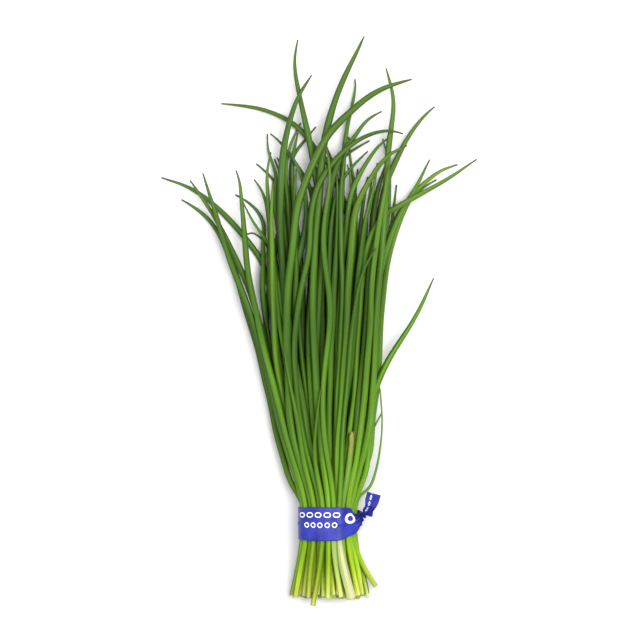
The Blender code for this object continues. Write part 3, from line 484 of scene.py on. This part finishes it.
# ---------------------------------------------------------------- materials
class Nodes:
    """A short way to write a material's nodes: each call adds one node and returns its output."""

    def __init__(self, name):
        self.material = bpy.data.materials.new(name)
        self.material.use_nodes = True
        self.tree = self.material.node_tree
        self.shader = self.tree.nodes["Principled BSDF"]

    def put(self, socket, value):
        """A link where the value is an output, a constant otherwise."""
        if isinstance(value, bpy.types.NodeSocket):
            self.tree.links.new(value, socket)
        elif isinstance(value, tuple) and len(value) == 3 and socket.type == "RGBA":
            socket.default_value = (*value, 1)
        else:
            socket.default_value = value

    def math(self, kind, a, b=0.0, c=0.0):
        node = self.tree.nodes.new("ShaderNodeMath")
        node.operation = kind
        for socket, value in zip(node.inputs, (a, b, c)):
            self.put(socket, value)
        return node.outputs[0]

    def times(self, a, b):
        return self.math("MULTIPLY", a, b)

    def sway(self, noise, weight, base):
        """The base, moved up and down by a noise's distance from its middle times the weight."""
        return self.math("MULTIPLY_ADD", self.math("SUBTRACT", noise, 0.5), weight, base)

    def attribute(self, name):
        node = self.tree.nodes.new("ShaderNodeAttribute")
        node.attribute_name = name
        return node.outputs["Fac"]

    def uv(self):
        node = self.tree.nodes.new("ShaderNodeUVMap")
        split = self.tree.nodes.new("ShaderNodeSeparateXYZ")
        self.put(split.inputs[0], node.outputs[0])
        return split.outputs[0], split.outputs[1]

    def place(self):
        return self.tree.nodes.new("ShaderNodeTexCoord").outputs["Object"]

    def join(self, x, y, z=0.0):
        node = self.tree.nodes.new("ShaderNodeCombineXYZ")
        for socket, value in zip(node.inputs, (x, y, z)):
            self.put(socket, value)
        return node.outputs[0]

    def noise(self, vector, scale, detail=2.0):
        node = self.tree.nodes.new("ShaderNodeTexNoise")
        self.put(node.inputs["Vector"], vector)
        node.inputs["Scale"].default_value = scale
        node.inputs["Detail"].default_value = detail
        return node.outputs[0]

    def streaks(self, turn, run, round_it, per_metre, shift=0.0, detail=2.0):
        """Noise drawn out along the run: about so many streaks to a turn, and so many changes to a metre."""
        vector = self.join(self.times(turn, round_it), self.times(run, per_metre), shift)
        return self.noise(vector, 1.0, detail)

    def ramp(self, value, stops):
        node = self.tree.nodes.new("ShaderNodeValToRGB")
        while len(node.color_ramp.elements) < len(stops):
            node.color_ramp.elements.new(0.5)
        for element, (spot, colour) in zip(node.color_ramp.elements, stops):
            element.position = spot
            element.color = (*colour, 1) if isinstance(colour, tuple) else (colour, colour, colour, 1)
        self.put(node.inputs[0], value)
        return node.outputs[0]

    def mix(self, share, a, b, kind="MIX"):
        node = self.tree.nodes.new("ShaderNodeMix")
        node.data_type = "RGBA"
        node.blend_type = kind
        self.put(node.inputs["Factor"], share)
        self.put(node.inputs[6], a)
        self.put(node.inputs[7], b)
        return node.outputs[2]

    def tint(self, colour, by, share=1.0):
        """The colour, multiplied by another as far as the share says."""
        return self.mix(share, colour, self.mix(1.0, colour, by, "MULTIPLY"))

    def scale(self, colour, value):
        """The colour times a grey value."""
        node = self.tree.nodes.new("ShaderNodeVectorMath")
        node.operation = "SCALE"
        self.put(node.inputs[0], colour)
        self.put(node.inputs["Scale"], value)
        return node.outputs[0]

    def bump(self, height, distance, strength, under=None):
        node = self.tree.nodes.new("ShaderNodeBump")
        node.inputs["Distance"].default_value = distance
        node.inputs["Strength"].default_value = strength
        self.put(node.inputs["Height"], height)
        if under is not None:
            self.put(node.inputs["Normal"], under)
        return node.outputs[0]


# Colours of a leaf from its cut end to its tip: distance in mm, then the colour.
LEAF_RUN = (
    (0, (0.68, 0.75, 0.20)),
    (5, (0.52, 0.66, 0.075)),
    (18, (0.29, 0.49, 0.018)),
    (33, (0.205, 0.41, 0.016)),
    (63, (0.128, 0.305, 0.015)),
    (93, (0.086, 0.212, 0.013)),
    (138, (0.058, 0.148, 0.010)),
    (168, (0.064, 0.158, 0.012)),
    (213, (0.088, 0.190, 0.024)),
    (290, (0.10, 0.20, 0.03)),
)
LIGHTNESS = 0.79  # all leaves are darkened by this, for a ground that shows as white
BLUER = (0.84, 0.97, 1.5)
YELLOWER = (1.24, 1.10, 0.75)
CREAM = (0.60, 0.60, 0.33)
DRY_TIP = (0.10, 0.09, 0.035)
BARE_TIP = (0.04, 0.065, 0.016)
BORE_GREEN = (0.42, 0.50, 0.16)
# Streaks of a leaf: how many go round it, how many changes to a metre, and how strongly they show.
RIBS = (34.0, 30.0, 0.8)
BROAD = (5.0, 14.0, 1.0)
BAND = (13.0, 20.0, 0.7)
FLANK_SHADE = (0.66, 0.5)  # painted shade: the left and the right flanks are darker by up to this, as for light from the right
BACK = 1.13  # lightness of the back, raised against the painted shade on the flanks
BURIED_SHADE = -0.46  # painted shade: lightness lost deep in the bunch


def leaf_look(name, warm, gloss):
    """A waxy leaf: yellow-green at its cut end, deeper green upward, ribs and cells as fine relief along it,
    a dry tip.  The point values tone and shade set one leaf off from the next."""
    look = Nodes(name)
    turn, run = look.uv()
    rise = look.attribute("rise")
    left = look.attribute("left")
    tone = look.attribute("tone")
    longest = LEAF_RUN[-1][0]
    drift = look.streaks(tone, run, 40.0, 22.0, detail=3.0)
    along = look.sway(drift, 0.10, look.times(rise, 1 / (longest * MM)))
    colour = look.ramp(along, [(mm / longest, colour) for mm, colour in LEAF_RUN])
    colour = look.tint(colour, YELLOWER, look.times(look.math("MAXIMUM", tone, 0.0), 0.55))
    colour = look.tint(colour, BLUER, look.times(look.math("MAXIMUM", look.times(tone, -1.0), 0.0), 0.8))
    colour = look.tint(colour, warm)
    # Ribs are many fine lines side by side, with broader bands and light and dark sides over them.
    ribs = look.streaks(turn, run, *RIBS[:2], look.times(tone, 9.0))
    broad = look.streaks(turn, run, *BROAD[:2], look.math("MULTIPLY_ADD", tone, 17.0, 3.0))
    band = look.streaks(turn, run, *BAND[:2], look.math("MULTIPLY_ADD", tone, 13.0, 8.0), 1.0)
    level = look.sway(ribs, RIBS[2], LIGHTNESS)
    level = look.sway(broad, BROAD[2], level)
    level = look.sway(band, BAND[2], level)
    level = look.times(level, look.attribute("shade"))
    # Painted shade: the flanks are darker than the back, the left one more so, as for light from the right.
    lean = look.math("COSINE", look.times(turn, 2 * np.pi))
    left_flank_shade = look.math("POWER", look.math("MAXIMUM", look.times(lean, -1.0), 0.0), 3.0)
    right_flank_shade = look.math("POWER", look.math("MAXIMUM", lean, 0.0), 5.0)
    flank_shade = look.math("ADD", look.times(left_flank_shade, FLANK_SHADE[0]), look.times(right_flank_shade, FLANK_SHADE[1]))
    level = look.times(level, look.math("SUBTRACT", BACK, flank_shade))
    # Painted shade: low in the thick of the bunch the leaves are darker, where other leaves shade them.
    level = look.times(level, look.math("MULTIPLY_ADD", look.attribute("under"), BURIED_SHADE, 1.0))
    colour = look.scale(colour, level)
    # Bleached sheath near the cut end.
    pale = look.times(look.attribute("pale"), look.ramp(rise, ((0.026, 1.0), (0.046, 0.0))))
    veins = look.ramp(ribs, ((0.42, 0.0), (0.62, 0.75)))
    colour = look.mix(pale, colour, look.mix(veins, CREAM, colour))
    # The last few millimetres are dry.
    grain = look.math("MULTIPLY_ADD", look.streaks(turn, run, 1.0, 900.0, tone), 0.004, -0.002)
    dry = look.ramp(look.math("ADD", left, grain), ((0.0, 1.0), (0.002, 0.7), (0.0065, 0.0)))
    colour = look.mix(dry, colour, look.mix(look.times(ribs, 1.2), BARE_TIP, DRY_TIP))
    colour = look.mix(look.times(look.attribute("inside"), 0.75), colour, BORE_GREEN)
    look.put(look.shader.inputs["Base Color"], colour)
    look.put(look.shader.inputs["Roughness"], look.math("MULTIPLY_ADD", ribs, 0.16, gloss))
    look.shader.inputs["Specular IOR Level"].default_value = 0.12
    look.shader.inputs["Subsurface Weight"].default_value = 0.12
    look.shader.inputs["Subsurface Radius"].default_value = (0.35, 0.7, 0.1)
    look.shader.inputs["Subsurface Scale"].default_value = 0.0012
    cells = look.streaks(turn, run, 60.0, 1500.0, detail=1.0)
    relief = look.bump(cells, 0.00002, 0.35)
    relief = look.bump(ribs, 0.00012, 0.6, relief)
    look.put(look.shader.inputs["Normal"], relief)
    return look.material


# Colours of a withered leaf from its free end on: distance in m, then the colour.
WITHERED_RUN = (
    (0.0, (0.26, 0.22, 0.04)),
    (0.002, (0.24, 0.28, 0.02)),
    (0.009, (0.17, 0.27, 0.012)),
    (0.020, (0.12, 0.27, 0.010)),
    (1.0, (0.11, 0.26, 0.010)),
)
# Colours of its foot, from the cut end on.
FOOT_RUN = (
    (0.0, (0.60, 0.68, 0.20)),
    (0.012, (0.34, 0.50, 0.03)),
    (0.04, (0.17, 0.35, 0.014)),
)
BROWN = (0.06, 0.04, 0.012)
SPLIT = 0.41  # where round the leaf it has split, as a share of a turn


def dry_look(name):
    """A torn or withered leaf: olive turning to straw, with brown streaks and a rough, dull skin."""
    look = Nodes(name)
    turn, run = look.uv()
    left = look.attribute("left")
    streak = look.streaks(turn, run, 22.0, 120.0, detail=4.0)
    rise = look.attribute("rise")
    colour = look.ramp(left, WITHERED_RUN)
    colour = look.mix(look.ramp(rise, ((0.015, 1.0), (0.06, 0.0))), colour, look.ramp(rise, FOOT_RUN))
    edge = look.math("ABSOLUTE", look.math("SUBTRACT", turn, SPLIT))
    split = look.times(look.ramp(edge, ((0.03, 0.9), (0.07, 0.0))),
                       look.ramp(left, ((0.009, 1.0), (0.02, 0.0))))
    brown = look.times(look.ramp(streak, ((0.54, 0.0), (0.66, 0.7))),
                       look.ramp(left, ((0.001, 1.0), (0.02, 0.1))))
    colour = look.mix(look.math("MAXIMUM", split, brown), colour, BROWN)
    colour = look.scale(colour, look.math("MULTIPLY_ADD", streak, 0.6, 0.7))
    look.put(look.shader.inputs["Base Color"], colour)
    look.put(look.shader.inputs["Roughness"], look.math("MULTIPLY_ADD", streak, 0.2, 0.5))
    look.shader.inputs["Subsurface Weight"].default_value = 0.1
    look.shader.inputs["Subsurface Radius"].default_value = (0.5, 0.7, 0.1)
    look.shader.inputs["Subsurface Scale"].default_value = 0.001
    look.put(look.shader.inputs["Normal"], look.bump(streak, 0.00025, 0.8))
    return look.material


# Rows of marks on the tie, in metres: place across, pitch, length, height and stroke of a bar, first, last.
# The way along grows to the right over the top of the bunch, from 0 above the origin.  The last row is on
# the long tail.
MARK_ROWS = (
    (0.0046, 0.0046, 0.0036, 0.0027, 0.00056, -0.0161, 0.0069),
    (-0.0005, 0.0036, 0.0027, 0.0028, 0.00056, -0.0126, 0.0054),
    (0.0024, 0.0034, 0.0026, 0.0022, 0.00062, 0.0226, 0.0330),
)
RING = (0.0121, 0.0022, 0.0064, 0.0015)  # along, across, outer diameter, stroke
FILM_BLUE = ((0.32, (0.012, 0.017, 0.225)), (0.68, (0.029, 0.040, 0.41)))
# Painted shade where the pleats dip and along the film's edges.
FOLD_SHADE_BLUE = (0.007, 0.006, 0.12)
MARK_WHITE = (0.88, 0.89, 0.95)


def film_look(name):
    """Blue plastic film, satin, with plain white marks on its outer face: rows of hollow bars and a ring.  UV
    is the place across the film and along it, both in metres.  A hollow bar is every place whose distance to
    a short straight line is within half a stroke of one value."""
    look = Nodes(name)
    across, along = look.uv()
    # The weight of the painted shade in the pleats and along the edges.
    fold_shade = look.attribute("fold_shade")

    def hollow(away, height, length, tall, stroke):
        """Where the outline of a bar with round ends is, from the distances to its middle."""
        past = look.math("SUBTRACT", look.math("ABSOLUTE", away), (length - tall) / 2)
        past = look.math("MAXIMUM", past, 0.0)
        far = look.math("SQRT", look.math("ADD", look.times(past, past), look.times(height, height)))
        off = look.math("ABSOLUTE", look.math("SUBTRACT", far, (tall - stroke) / 2))
        return look.math("LESS_THAN", off, stroke / 2)

    ring_along, ring_across, ring_size, ring_stroke = RING
    marks = hollow(look.math("SUBTRACT", along, ring_along), look.math("SUBTRACT", across, ring_across),
                   ring_size, ring_size, ring_stroke)
    for line, pitch, length, tall, stroke, first, last in MARK_ROWS:
        step = look.times(look.math("ROUND", look.math("DIVIDE", along, pitch)), pitch)
        bars = hollow(look.math("SUBTRACT", along, step), look.math("SUBTRACT", across, line),
                      length, tall, stroke)
        within = look.times(look.math("GREATER_THAN", along, first), look.math("LESS_THAN", along, last))
        marks = look.math("MAXIMUM", marks, look.times(bars, within))
    marks = look.times(marks, look.math("GREATER_THAN", look.attribute("outer"), 0.5))
    soft = look.noise(look.place(), 190.0, 3.0)
    # The painted shade darkens the blue.
    blue = look.mix(fold_shade, look.ramp(soft, FILM_BLUE), FOLD_SHADE_BLUE)
    colour = look.mix(marks, blue, MARK_WHITE)
    look.put(look.shader.inputs["Base Color"], colour)
    look.put(look.shader.inputs["Roughness"], look.math("MULTIPLY_ADD", soft, 0.14, 0.34))
    look.shader.inputs["Specular IOR Level"].default_value = 0.3
    fine = look.noise(look.place(), 900.0, 2.0)
    look.put(look.shader.inputs["Normal"], look.bump(fine, 0.00008, 0.25, look.bump(soft, 0.0005, 0.4)))
    return look.material


def wire_look(name):
    """Thin drawn steel wire with fine scratches along it."""
    look = Nodes(name)
    scratch = look.noise(look.place(), 2500.0, 2.0)
    steel = look.ramp(scratch, ((0.3, (0.42, 0.42, 0.43)), (0.7, (0.62, 0.62, 0.62))))
    look.put(look.shader.inputs["Base Color"], steel)
    look.shader.inputs["Metallic"].default_value = 1.0
    look.put(look.shader.inputs["Roughness"], look.math("MULTIPLY_ADD", scratch, 0.2, 0.22))
    return look.material


def floor_look(name):
    """Plain matt paper-white ground."""
    look = Nodes(name)
    grain = look.noise(look.place(), 60.0, 2.0)
    white = look.ramp(grain, ((0.0, (0.86, 0.86, 0.86)), (1.0, (0.89, 0.89, 0.89))))
    look.put(look.shader.inputs["Base Color"], white)
    look.shader.inputs["Roughness"].default_value = 0.9
    look.shader.inputs["Specular IOR Level"].default_value = 0.1
    return look.material


# ---------------------------------------------------------------- the leaves
def dress_leaves():
    """Every leaf in its own tone."""
    rng = np.random.default_rng(SEED)
    plain = leaf_look("chive_green", (1, 1, 1), 0.36)
    bright = leaf_look("chive_bright", (1.14, 1.08, 1.05), 0.34)
    withered = dry_look("chive_withered")
    for node in sorted(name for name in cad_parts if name.startswith(("leaf", "shoot"))):
        lines = leaves_of(node)
        for number, line in enumerate(lines):
            tone = float(np.clip(rng.normal(0, TONE_SPREAD), -TONE_LIMIT, TONE_LIMIT))
            shade = float(rng.uniform(*SHADE_RANGE))
            if node in BRIGHT:
                tone = max(tone, BRIGHT_TONE)
                shade = min(shade, BRIGHT_SHADE)
            tone, shade = OWN_TONE.get(node, (tone, shade))
            kind, place = node.split("_")
            name = f"chive_{place}" if kind == "leaf" else f"inner_{place}_{'ab'[number]}"
            if node in (TORN, WISP):
                leaf(name, node, line, rng, withered, tone, shade, open_end=node == TORN)
                if node == WISP:
                    twig(name + "_twig", node, line, withered)
            elif node in BRIGHT:
                leaf(name, node, line, rng, bright, tone, shade)
            else:
                leaf(name, node, line, rng, plain, tone, shade, PALE.get(node, 0.0))


# ---------------------------------------------------------------- the tie
def far_corner(joined):
    """A corner at one end of a strip: the last that is reached from the first one, step by step."""
    ring = np.zeros(len(joined), bool)
    ring[0] = True
    met = ring.copy()
    while True:
        further = joined[ring].any(axis=0) & ~met
        if not further.any():
            return np.flatnonzero(ring)[0]
        ring = further
        met |= ring


def film_frames():
    """The tie's stations, end to end: the wire's middle, the way across, the way out, half width and height
    of the edge over the inner face.  The wire runs through the whole tie, and one corner of each of its rings
    looks straight out: on top of the bunch it is the highest, and from there it turns only a little from
    ring to ring.  The film's own corners in the plane of a ring give its width there."""
    wire, links = welded("tie_wire")
    start = far_corner(links)
    ring = np.zeros(len(wire), bool)
    ring[np.argsort(np.linalg.norm(wire - wire[start], axis=1))[:LEAF_SIDES]] = True
    rings = np.array([wire[row] for row in walk(links, ring, np.zeros(len(wire), bool), LEAF_SIDES)])
    core = rings.mean(axis=1)
    looks = unit(rings - core[:, None])
    plane = np.linalg.svd(rings - core[:, None])[2][:, 2]
    plane *= np.sign((plane * np.gradient(core, axis=0)).sum(axis=1))[:, None]
    top = int(np.argmax(core[:, 2] - 0.5 * np.abs(core[:, 0])))
    out = np.empty_like(core)
    out[top] = looks[top][np.argmax(looks[top] @ (0, 0, 1.0))]
    for step, stop in ((1, len(core)), (-1, -1)):
        for row in range(top + step, stop, step):
            out[row] = looks[row][np.argmax(looks[row] @ out[row - step])]
    across = unit(np.cross(out, plane))
    across *= np.sign(across[top, 1])
    spots = welded("tie_ribbon")[0]
    half = np.empty(len(core))
    edge = np.empty(len(core))
    for row, middle in enumerate(core):
        away = spots - middle
        sideways, height = away @ across[row], away @ out[row]
        here = (np.abs(away @ plane[row]) < STATION_DEEP) & (np.abs(height) < STATION_HIGH)
        here &= np.abs(sideways) < FULL_HALF + 0.2
        half[row] = np.abs(sideways[here]).max()
        outermost = here & (np.abs(sideways) > half[row] - STATION_EDGE)
        edge[row] = height[outermost].max() + CHANNEL_RISE
    return core, across, out, half, edge


def averaged(rows, width):
    """Each column as its running mean, weighed by a bell of this many rows, the end rows repeated outward."""
    bell = np.hanning(width + 2)[1:-1]
    bell /= bell.sum()
    pad = width // 2
    padded = np.vstack([np.repeat(rows[:1], pad, axis=0), rows, np.repeat(rows[-1:], pad, axis=0)])
    return np.stack([np.convolve(column, bell, "valid") for column in padded.T], axis=1)


def film_course():
    """The film's stations made even and smooth: the place along it, the middle, the way across, the way out,
    half width and edge height.  Round the bundle they are averaged over a longer stretch than beyond it."""
    core, across, out, half, edge = film_frames()
    centre = core - CHANNEL_RISE * out
    knots = run_along(centre)
    keep = np.concatenate([[True], np.diff(knots) > 0.02])
    knots = knots[keep]
    at = np.linspace(0, knots[-1], int(knots[-1] / FILM_STEP))
    facts = np.column_stack([centre, across, out, half, edge])[keep]
    even = np.column_stack([np.interp(at, knots, column) for column in facts.T])
    close = averaged(even, SMOOTH_NARROW)
    broad = averaged(even, SMOOTH_BROAD)
    loop = ease((TWIST_START - close[:, :1]) / 3)
    smooth = close + loop * (broad - close)
    return at, smooth[:, 0:3], unit(smooth[:, 3:6]), unit(smooth[:, 6:9]), smooth[:, 9], smooth[:, 10]


def dress_tie():
    """The film: a strip whose outer face rises to a ridge over the wire where it lies flat and is thrown into
    pleats where it is gathered, with painted shade where the pleats dip and along its edges, more in the
    tails.  The ridge is a bell across the film, and the pleats are a cosine across it whose phase sways along
    it."""
    at, centre, across, out, half, edge_high = film_course()
    near_end = np.minimum(at, at[-1] - at)
    from_end = np.where(half > TIGHT, near_end, TAIL)
    in_tail = ease((TAIL - from_end) / TAIL_FADE) * (near_end < TAIL + 2)
    gathered = (ease((GATHER_START - half) / GATHER_FADE) * (1 - in_tail))[:, None]
    edge = np.linspace(-1, 1, FILM_POINTS)
    ridge = RIDGE * np.exp(-((edge[None, :] * half[:, None] / RIDGE_WIDE) ** 2))
    base = np.minimum(edge_high, EDGE_HIGH)[:, None]
    wave = np.cos(PLEATS * np.pi * edge[None, :] + 0.8 * np.sin(at[:, None] * 0.9))
    outer = (base + ridge) * (1 - gathered) + (EDGE_HIGH + PLEAT_DEEP * wave) * gathered
    floor_limit = np.where(out[:, 2] < -0.5, np.maximum(centre[:, 2] - CLEAR, 0.1), 9.0)
    outer = np.minimum(outer, floor_limit[:, None])
    inner = outer - FILM
    rim = 0.5 * (outer + inner)
    profile = np.concatenate([inner, rim[:, -1:], outer[:, ::-1], rim[:, :1]], axis=1)
    spread = np.concatenate([edge * EDGE_IN, [1.0], edge[::-1] * EDGE_IN, [-1.0]])
    grid = spread_out(centre, across, out, spread[None, :] * half[:, None], profile)
    grid[..., 2] = np.maximum(grid[..., 2], CLEAR)
    face = np.concatenate([np.zeros(len(edge)), [0.5], np.ones(len(edge)), [0.5]])
    # Painted shade: the pleats are darker where they dip, on the outer face alone, and the film is darker
    # along its edges, more in the tails.
    dip_shade = ease(0.5 - 0.5 * wave)[:, ::-1]
    nothing = np.zeros_like(wave)
    fold_shade = np.concatenate([nothing, nothing[:, :1], dip_shade, nothing[:, :1]], axis=1)
    edge_shade = np.exp(-(((1 - np.abs(spread[None, :])) * half[:, None] / EDGE_SHADE_WIDE) ** 2))
    fold_shade = np.maximum(fold_shade * gathered, edge_shade * (EDGE_SHADE_DARK[0] + EDGE_SHADE_DARK[1] * in_tail[:, None]))
    # The marks are counted from above the origin, on top of the bunch and not on its underside.
    top = int(np.argmin(np.abs(centre[:, 0]) + 100 * (centre[:, 2] < 12)))
    run = (at - at[top]) * np.sign(centre[top + 1, 0] - centre[top - 1, 0])
    fields = {"outer": face[None, :], "fold_shade": fold_shade}
    piece = skin("tie_film", grid, film_look("tie_blue"),
                 spread[None, :] * FULL_HALF * MM, run[:, None] * MM, fields, strip=True)
    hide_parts("tie_ribbon")


def dress_wire():
    """The wire keeps its solid and takes the finish of drawn steel."""
    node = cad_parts["tie_wire"]
    look = wire_look("tie_steel")
    if node.material_slots:
        node.material_slots[0].material = look
    else:
        node.data.materials.append(look)


# ---------------------------------------------------------------- the set
def build_floor():
    """A square of pale ground under the bunch."""
    mesh = bpy.data.meshes.new("ground")
    corners = [(FLOOR_REACH * x, FLOOR_REACH * y, 0) for x, y in ((-1, -1), (1, -1), (1, 1), (-1, 1))]
    mesh.from_pydata(corners, [], [(0, 1, 2, 3)])
    mesh.materials.append(floor_look("ground_white"))
    ground = bpy.data.objects.new("ground", mesh)
    bpy.context.scene.collection.objects.link(ground)


def lamp(name, place, power):
    """A square white area lamp over the bunch."""
    data = bpy.data.lights.new(name, "AREA")
    data.size = LAMP_SIZE
    data.energy = power
    made = bpy.data.objects.new(name, data)
    made.location = place
    way = np.array(LAMP_AIM) - np.array(place)
    made.rotation_euler = Vector(way).to_track_quat("-Z", "Y").to_euler()
    bpy.context.scene.collection.objects.link(made)


def build_light():
    """Soft studio light: a bright surround, a broad lamp overhead to the right and a weak one to the left."""
    world = bpy.data.worlds.new("studio")
    world.use_nodes = True
    shade = world.node_tree.nodes["Background"]
    shade.inputs["Color"].default_value = (1, 1, 1, 1)
    shade.inputs["Strength"].default_value = SURROUND
    bpy.context.scene.world = world
    lamp("key", *KEY)
    lamp("fill", *FILL)


def build_camera():
    """A long lens straight above the bunch."""
    data = bpy.data.cameras.new("camera")
    data.sensor_width = SENSOR
    data.lens = SENSOR * (CAMERA_HEIGHT - VIEW_HIGH) / VIEW_WIDE
    data.clip_start = 0.05
    data.clip_end = 50.0
    camera = bpy.data.objects.new("camera", data)
    low, high = CAD_BOX
    camera.location = (
        (low.x + high.x) / 2 + CAMERA_SHIFT,
        (low.y + high.y) / 2 + CAMERA_SHIFT,
        CAMERA_HEIGHT,
    )
    bpy.context.scene.collection.objects.link(camera)
    bpy.context.scene.camera = camera


build_camera()
build_floor()
build_light()
dress_leaves()
dress_tie()
dress_wire()
bpy.context.scene.view_settings.view_transform = "Standard"
